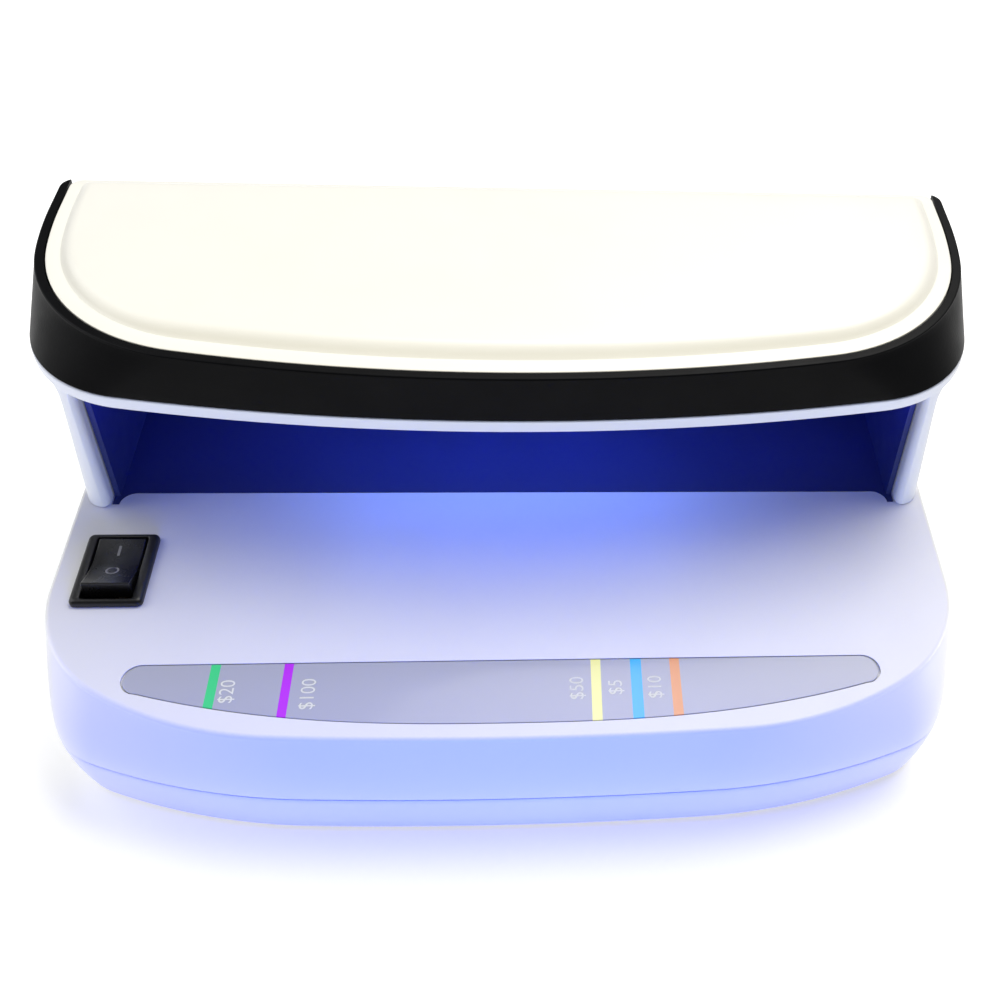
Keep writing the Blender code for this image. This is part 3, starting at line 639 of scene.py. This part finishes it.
# ---------------------------------------------------------------- switch
def build_bezel(mats):
    """Switch housing, with each section as half length in x and y, corner radius and height."""
    z = BASE_TOP + 0.1
    sections = (
        (6.4, 9.3, 0.6, 17.0),
        (6.4, 9.3, 0.6, z),
        (7.3, 9.5, 1.1, z),
        (7.5, 9.7, 1.2, z + 0.2),
        (7.5, 9.7, 1.2, z + 0.8),
        (7.42, 9.62, 1.15, z + 1.1),
        (7.2, 9.42, 1.05, z + 1.4),
        (6.95, 9.2, 0.9, z + 1.55),
        (6.6, 9.0, 0.8, z + 1.6),
        (5.7, 8.8, 0.6, z + 1.6),
        (5.45, 8.55, 0.5, z + 1.5),
        (5.38, 8.48, 0.45, z + 1.2),
        (5.3, 8.4, 0.4, 19.0),
    )
    rings = [(rounded(half_x, half_y, radius, SWITCH), h) for half_x, half_y, radius, h in sections]
    bezel = solid("switch_bezel", loft(rings), mats["switch_housing"])
    x, y = SWITCH
    slots = [box(x - 2.6, x + 2.6, y + start, y + start + 1.2, 16.0, 20.0) for start in (-0.6, -6.8)]
    pin = turned([(1.15, -6.15), (1.15, 6.15)], (0, 0), 20)
    slots.append(lying(pin, (x, y, PIVOT_Z), (1, 0, 0)))
    combine(bezel, "DIFFERENCE", slots)
    stands_for(bezel, "housing", "switch_housing", "switch_housing")


def key_height(s):
    """Height of the rocker's dished top above its pivot, at a distance along it."""
    return KEY_MIDDLE + KEY_RISE * abs(s / KEY_HALF) ** KEY_CURVE


def build_key(mats):
    """Rocker with its pins, the plunger's socket and the printed bar and ring."""
    upright = Matrix(((0, 0, 1, 0), (1, 0, 0, 0), (0, 1, 0, 0), (0, 0, 0, 1)))
    at = Matrix.Translation((*SWITCH, PIVOT_Z))
    tilt = Matrix.Rotation(TILT, 4, "X")
    steps = 16
    along = [KEY_HALF * k / steps for k in range(steps, -steps - 1, -1)]
    profile = [(-7.0, -1.0), (-4.5, -3.2), (4.5, -3.2), (7.0, -1.0)] + [(s, key_height(s)) for s in along]
    shape = moved(loft([(profile, -4.95), (profile, 4.95)]), at @ tilt @ upright)
    key = solid("switch_key", shape, mats["switch_rocker"])
    soften(key, 0.35, 4, 30.0)
    pins = lying(turned([(0.85, -5.9), (0.85, 5.9)], (0, 0), 20), (0, 0, 0), (1, 0, 0))
    combine(key, "UNION", [moved(pins, at)])
    socket = turned([(1.15, -5.0), (1.15, -1.6)], (0, 0), 20)
    combine(key, "DIFFERENCE", [moved(socket, at @ tilt)])
    stands_for(key, "rocker", "switch_rocker", "switch_rocker")

    bar = prism(rounded(0.28, 1.35, 0.12, (0, 0), 4), 0.0, 0.06)
    hoop = ((1.0, 0.0), (1.0, 0.06), (1.4, 0.06), (1.4, 0.0))
    ring = loft([(arc((0, 0), r, 0, 360 * 35 / 36, 35), h) for r, h in hoop], loop=True)
    for name, shape, s, sign in (("key_on", bar, 4.2, 1), ("key_off", ring, -1.9, -1)):
        gradient = KEY_RISE * KEY_CURVE / KEY_HALF * abs(s / KEY_HALF) ** (KEY_CURVE - 1)
        lean = Matrix.Rotation(math.atan(gradient) * sign, 4, "X")
        place = at @ tilt @ Matrix.Translation((0, s, key_height(s) - 0.03)) @ lean
        mark = solid(name, moved(shape, place), mats["switch_print"])
        stands_for(mark, "rocker", "switch_rocker")


# ---------------------------------------------------------------- stand and chamber
def stand_ring(z):
    """Outline of the legs at a height: they draw in as they rise, then flare into the lip."""
    t = (z - BASE_TOP) / (TRAY - BASE_TOP)
    half = STAND_HALF - 1.9 * t
    corner = 4.5 - 0.7 * t
    slope = 1.5
    run = (half - corner) / math.sin(math.radians(slope))
    sag = run * (1 - math.cos(math.radians(slope)))
    arcs = ((run, slope), (corner, 89.0), (300.0, 90.0))
    near = plan(STAND_FRONT_Y - sag, STAND_REAR_Y + 0.4 * t, arcs, 8.0)
    return blend(skirt_plan(LIP - 0.4), near, 0.4 * t**30)


def chamber_side(inset, front, count=16):
    half = CHAMBER_X - inset
    rear = CHAMBER_REAR_Y - inset
    radius = CHAMBER_R - inset
    return [(half, front)] + arc((half - radius, rear - radius), radius, 0.0, 90.0, count)


def chamber_outline(inset, front):
    return mirrored(chamber_side(inset, front))


def opening_outline(edge_r=2.0, count=10):
    """The chamber and the way into it, with rounded front edges on the legs."""
    edge_x = CHAMBER_X + edge_r
    edge = arc((edge_x, STAND_FRONT_Y + 1.9), edge_r, 270.0, 180.0, count)
    return mirrored([(edge_x, -30.0)] + edge + chamber_side(0.0, 10.0))


def build_stand(mats):
    heights = [BASE_TOP + 0.2, 34.0, 38.0, 42.0, 46.0, 50.0, 54.0, 57.0, 59.0, 60.5, 61.5, 62.3]
    heights += [63.0, 63.5, 63.9, 64.2, 64.5, 64.75, TRAY, TRAY + 1.6]
    rings = [(stand_ring(min(z, TRAY)), z) for z in heights]
    stand = solid("stand", loft(rings), mats["stand_frame"])
    below = 20.0
    above = 75.0
    combine(stand, "DIFFERENCE", [prism(opening_outline(), below, above)])
    tray = [(-0.6, TRAY), (-0.3, TRAY + 0.08), (-0.1, TRAY + 0.3), (0.0, TRAY + 0.7)]
    tray += [(0.0, TRAY_TOP - 0.5), (-0.06, TRAY_TOP - 0.2), (-0.25, TRAY_TOP - 0.02), (-0.5, TRAY_TOP)]
    combine(stand, "UNION", [loft([(skirt_plan(LIP + grow), z) for grow, z in tray])])
    in_chamber = 60.0
    duct = rounded(78.0, 6.75, 4.0, (0.0, 48.25))
    lamp_opening = rounded(44.0, 11.0, 2.0, (0.0, centre_of("lamp_window")[1]))
    cuts = [prism(duct, below, above), prism(lamp_opening, in_chamber, above)]
    for k in range(1, 5):
        at = centre_of(f"head_screw_{k}")[:2]
        cuts.append(turned([(1.6, in_chamber), (1.6, above)], at, 24))
        cuts.append(turned([(3.1, in_chamber), (3.1, TRAY + 1.8)], at, 32))
    combine(stand, "DIFFERENCE", cuts)
    soften(stand, 0.45, 3, 40.0)
    stands_for(stand, "housing", "stand_frame", "stand_frame")


def build_liner(mats):
    walls = prism(chamber_outline(0.3, 2.6), BASE_TOP - 0.5, TRAY - 0.2)
    liner = solid("liner", walls, mats["chamber_liner"])
    combine(liner, "DIFFERENCE", [prism(chamber_outline(1.5, -20.0), 20.0, 70.0)])
    combine(liner, "UNION", [prism(liner_floor(), BASE_TOP - 0.5, BASE_TOP + 0.02)])
    soften(liner, 0.2, 2, 40.0)
    stands_for(liner, "housing", "chamber_liner", "chamber_liner")


# ---------------------------------------------------------------- head
def build_band(mats):
    """Black band, leaning in from the skirt at its foot to the rim at its top."""
    foot = BAND_LOW + 0.25
    rings = [(skirt_plan(-0.8), BAND_LOW), (skirt_plan(-0.2), BAND_LOW)]
    rings += [(skirt_plan(-0.05), BAND_LOW + 0.06), (skirt_plan(0.0), foot)]
    steps = 8
    for k in range(1, steps):
        t = k / steps
        outline = blend(rim_plan(BAND_TOP_W), skirt_plan(0.0), t)
        rings.append((outline, foot + (BAND_TOP - 0.75 - BAND_LOW) * t))
    rings.append((rim_plan(BAND_TOP_W), BAND_TOP - 0.5))
    edge_r = 0.45
    steps = 5
    for k in range(1, steps + 1):
        a = math.radians(90.0 * k / steps)
        rise = edge_r * math.sin(a)
        rings.append((rim_plan(BAND_TOP_W - edge_r + edge_r * math.cos(a)), BAND_TOP - edge_r + rise))
    rings.append((rim_plan(BAND_TOP_W - 0.8), BAND_TOP))
    band = solid("band", loft(rings), mats["head_band"])
    inside = plan(HEAD_FRONT_Y, HEAD_REAR_Y + 20.0, HEAD_ARCS, HEAD_REAR_R)
    combine(band, "DIFFERENCE", [prism(inside, 60.0, 85.0)])
    even_shading(band)
    stands_for(band, "housing", "head_band", "head_band")


def build_cover(mats):
    """Shell of the cover: from its hollow, round the flange, and up the soft step to the plateau."""
    rim = BAND_TOP
    top = PLATEAU
    sections = [(-7.8, 0.9, rim + 0.4), (-6.4, 0.9, rim - 0.1), (-5.6, 0.7, rim - 1.9)]
    sections += [(-1.9, 0.0, rim - 2.1), (-1.9, 0.0, BAND_LOW), (-0.3, 0.0, BAND_LOW)]
    sections += [(-0.3, 0.0, rim - 0.3), (-0.36, 0.0, rim - 0.12), (-0.5, 0.0, rim - 0.02)]
    sections += [(-0.75, 0.05, rim), (-1.9, 0.4, rim), (-3.15, 0.8, rim)]
    steps = 16
    for k in range(1, steps + 1):
        t = k / steps
        rise = 1.0 - (1.0 - t) ** 2.5
        sections.append((-3.3 - 3.7 * t, 0.85 + 0.15 * t, rim + (top - rim - 0.08) * rise))
    sections += [(-7.6, 1.0, top - 0.05), (-8.8, 1.0, top - 0.01), (-9.8, 1.0, top)]
    rings = [(head_plan(grow, shift), z) for grow, shift, z in sections]
    cover = solid("cover", loft(rings), mats["top_cover"])
    stands_for(cover, "housing", "top_cover", "top_cover")


# ---------------------------------------------------------------- small pieces
def build_screws(mats):
    names = [f"base_screw_{k}" for k in range(1, 5)] + [f"head_screw_{k}" for k in range(1, 5)]
    names += [f"stand_screw_{k}" for k in (1, 2)]
    pitch = 0.8
    for node in names:
        x, y, _ = centre_of(node)
        z = low(node, 2)
        top = high(node, 2)
        r = (high(node, 0) - low(node, 0)) / 2
        profile = [(r * 0.55, z), (r * 0.8, z + 0.12), (r * 0.95, z + 0.4), (r, z + 0.75), (r, z + 1.75)]
        profile += [(1.15, z + 1.85)]
        h = z + 2.6
        while h < top - 1.6:
            profile += [(0.85, h), (1.2, h + 0.25), (0.85, h + 0.5)]
            h += pitch
        profile += [(0.8, top - 1.2), (0.15, top)]
        screw = solid(f"v_{node}", turned(profile, (x, y), 28), mats["screw_steel"], 40.0)
        arms = ((1.5, 0.3), (0.3, 1.5))
        cross = [box(x - a, x + a, y - b, y + b, z - 1, z + 1.0) for a, b in arms]
        combine(screw, "DIFFERENCE", cross)
        stands_for(screw, "housing", "screw_steel", node)


def build_feet(mats):
    for k in range(1, 5):
        node = f"foot_{k}"
        profile = [(3.6, 0.0), (4.3, 0.02), (4.65, 0.15), (4.85, 0.4), (4.95, 0.8), (5.0, high(node, 2))]
        foot = solid(f"v_{node}", turned(profile, centre_of(node)[:2], 48), mats["foot_rubber"])
        stands_for(foot, "housing", "foot_rubber", node)


def build_diodes(mats):
    for k in range(1, 7):
        node = f"lamp_diode_{k}"
        tip = low(node, 2)
        root = high(node, 2)
        neck = root - 1.25
        profile = []
        steps = 9
        for i in range(steps + 1):
            t = math.pi / 2 * (1 - i / steps)
            profile.append((2.35 * math.cos(t) + 0.02, neck - (neck - tip) * math.sin(t)))
        profile += [(2.4, root - 1.2), (2.88, root - 1.15), (2.9, root - 1.0), (2.9, root)]
        diode = solid(f"v_diode_{k}", turned(profile, centre_of(node)[:2], 32), mats["lamp_diode"])
        stands_for(diode, "housing", "lamp_diode", node)


def finish_cad_nodes(mats):
    """Carried-over CAD nodes take the finish of their record slot."""
    slots = {entry["node"]: entry["material_slot"] for entry in frame["record"]["subparts"]}
    for name, obj in frame["nodes"].items():
        mat = mats.get(slots.get(name, name))
        if mat is None:
            continue
        for holder in obj.material_slots:
            holder.material = mat
        if not obj.material_slots:
            obj.data.materials.append(mat)


# ---------------------------------------------------------------- studio
def area(name, place, aim, size, power, colour, only=()):
    """Rectangular light. It falls only on the named pieces, where any are given."""
    data = bpy.data.lights.new(name, "AREA")
    data.shape = "RECTANGLE"
    data.size, data.size_y = size
    data.energy = power
    data.color = colour
    lamp = bpy.data.objects.new(name, data)
    scene.collection.objects.link(lamp)
    lamp.location = place
    lamp.rotation_mode = "QUATERNION"
    lamp.rotation_quaternion = (Vector(aim) - Vector(place)).to_track_quat("-Z", "Y")
    if only:
        lit = bpy.data.collections.new(name + "_lit")
        for obj in only:
            lit.objects.link(bpy.data.objects[obj])
        lamp.light_linking.receiver_collection = lit


def build_floor():
    mesh = bpy.data.meshes.new("floor")
    side = 3.0
    corners = [(-side, -side, 0), (side, -side, 0), (side, side, 0), (-side, side, 0)]
    mesh.from_pydata(corners, [], [(0, 1, 2, 3)])
    floor = bpy.data.objects.new("floor", mesh)
    scene.collection.objects.link(floor)
    mat = bpy.data.materials.new("m_floor")
    mat.use_nodes = True
    shader = mat.node_tree.nodes["Principled BSDF"]
    shader.inputs["Base Color"].default_value = (0.97, 0.97, 0.97, 1.0)
    shader.inputs["Roughness"].default_value = 0.9
    shader.inputs["Emission Color"].default_value = (1.0, 1.0, 1.0, 1.0)
    shader.inputs["Emission Strength"].default_value = 0.34
    shader.inputs["Specular IOR Level"].default_value = 0.1
    mesh.materials.append(mat)


def build_lights():
    """Soft studio light, and the violet light that falls on the front wall, the lip and the chamber."""
    world = bpy.data.worlds.new("studio")
    scene.world = world
    world.use_nodes = True
    back = world.node_tree.nodes["Background"]
    back.inputs["Color"].default_value = (0.95, 0.97, 1.0, 1.0)
    back.inputs["Strength"].default_value = 0.14

    middle = (0.0, 0.0, 0.03)
    area("key", (0.36, 0.40, 0.98), middle, (1.0, 0.8), 11.8, (1.0, 0.985, 0.95))
    area("side", (-0.75, 0.15, 0.6), middle, (0.8, 0.8), 3.6, (0.97, 0.98, 1.0))
    base = ("case_top", "case_low", "label_film")
    small = (0.12, 0.06)
    area("front", (0.0, -0.235, 0.07), (0.0, -0.03, 0.015), small, 0.68, (0.0, 0.08, 1.0), base)
    for name, x, power in (("left_wall", -0.34, 0.23), ("right_wall", 0.34, 0.32)):
        area(name, (x, -0.03, 0.05), (x / 4, -0.02, 0.015), small, power, (1.0, 0.98, 0.95), base)
    area("lip", (0.0, -0.5, 0.12), (0.0, 0.0, 0.06), (0.9, 0.12), 2.2, (0.56, 0.66, 1.0),
         ("stand", "liner"))
    area("fill", (0.0, -0.5, 0.30), (0.0, 0.0, 0.08), (0.9, 0.3), 1.7, (1.0, 0.94, 0.72), ("cover",))
    area("lamp_glow", (0.0, 0.012, 0.0645), (0.0, 0.022, 0.03), (0.09, 0.018), 0.024, (0.20, 0.34, 1.0))
    area("chamber", (0.0, -0.004, 0.0625), (0.0, 0.05, 0.060), (0.17, 0.004), 0.048, (0.02, 0.05, 1.0),
         ("liner",))
    scene.view_settings.view_transform = "Standard"
    scene.view_settings.look = "None"
    scene.view_settings.exposure = 0.0


def main():
    make_camera()
    mats = make_materials()
    finish_cad_nodes(mats)
    build_case_top(mats)
    build_case_low(mats)
    build_label(mats)
    build_bezel(mats)
    build_key(mats)
    build_stand(mats)
    build_liner(mats)
    build_band(mats)
    build_cover(mats)
    build_screws(mats)
    build_feet(mats)
    build_diodes(mats)
    build_floor()
    build_lights()


main()
